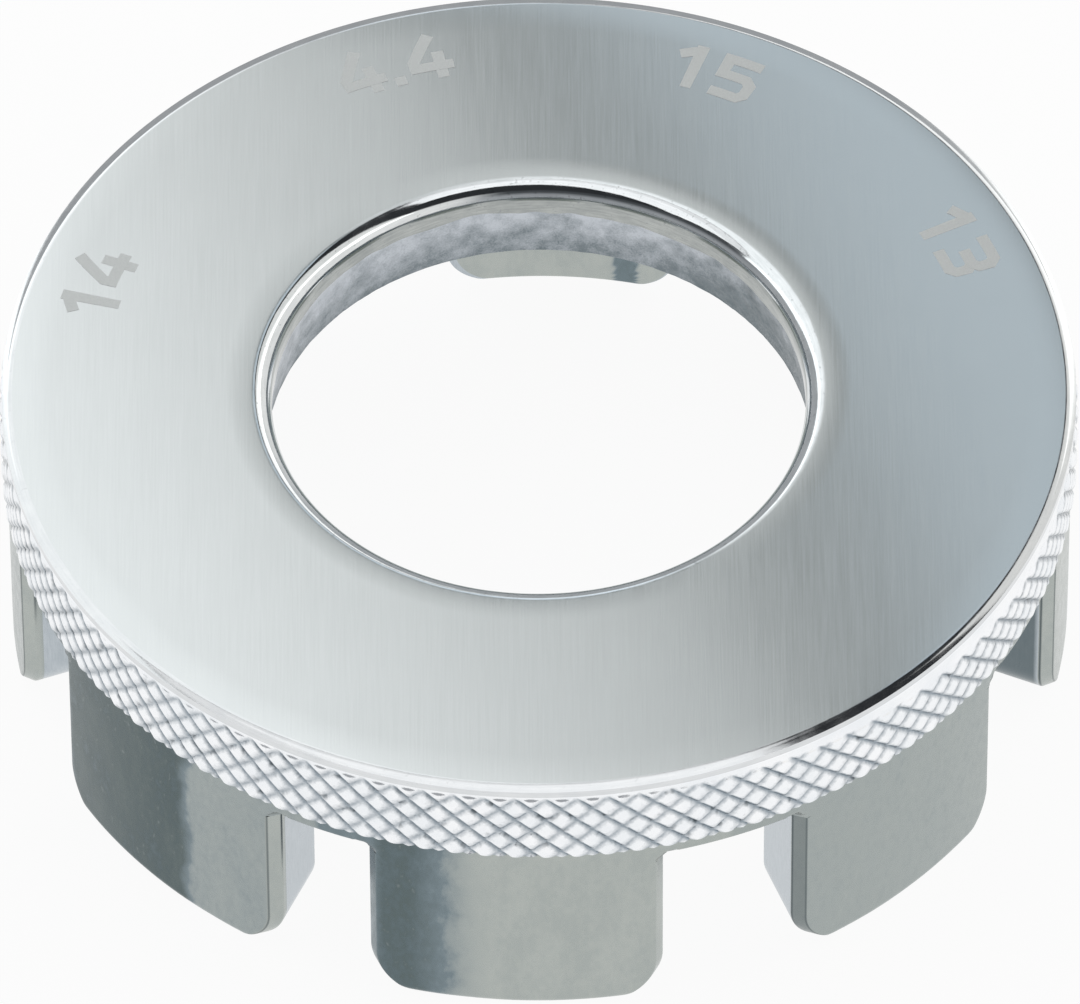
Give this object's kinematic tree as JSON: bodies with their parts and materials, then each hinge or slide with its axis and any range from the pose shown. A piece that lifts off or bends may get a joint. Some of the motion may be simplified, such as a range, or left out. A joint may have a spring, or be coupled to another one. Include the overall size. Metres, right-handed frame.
{
  "type": "spoke wrench",
  "caption": "Round spoke wrench: a flat ring with a knurled grip edge, a centre bore and a skirt of jaws whose gaps are slots for several sizes of spoke nipple.",
  "frame": {"origin": "on the bore axis, in the plane of the jaw tips that the wrench stands on", "axes": "+Z along the bore axis towards the flat face; the 13 gauge slots lie along X and the 4.4 mm slots along Y"},
  "size_m": [0.036, 0.036, 0.0109],
  "materials": {
    "satin_face": "plated steel, turned and brushed satin",
    "bright_knurl": "bright chrome plate over a diamond knurl",
    "plated_jaws": "chrome plate over a forged skin, soft sheen"
  },
  "bodies": {
    "root": {"face_plate": "satin_face", "knurled_band": "bright_knurl", "jaw_1": "plated_jaws", "jaw_2": "plated_jaws", "jaw_3": "plated_jaws", "jaw_4": "plated_jaws", "jaw_5": "plated_jaws", "jaw_6": "plated_jaws", "jaw_7": "plated_jaws", "jaw_8": "plated_jaws"}
  },
  "joints": []
}
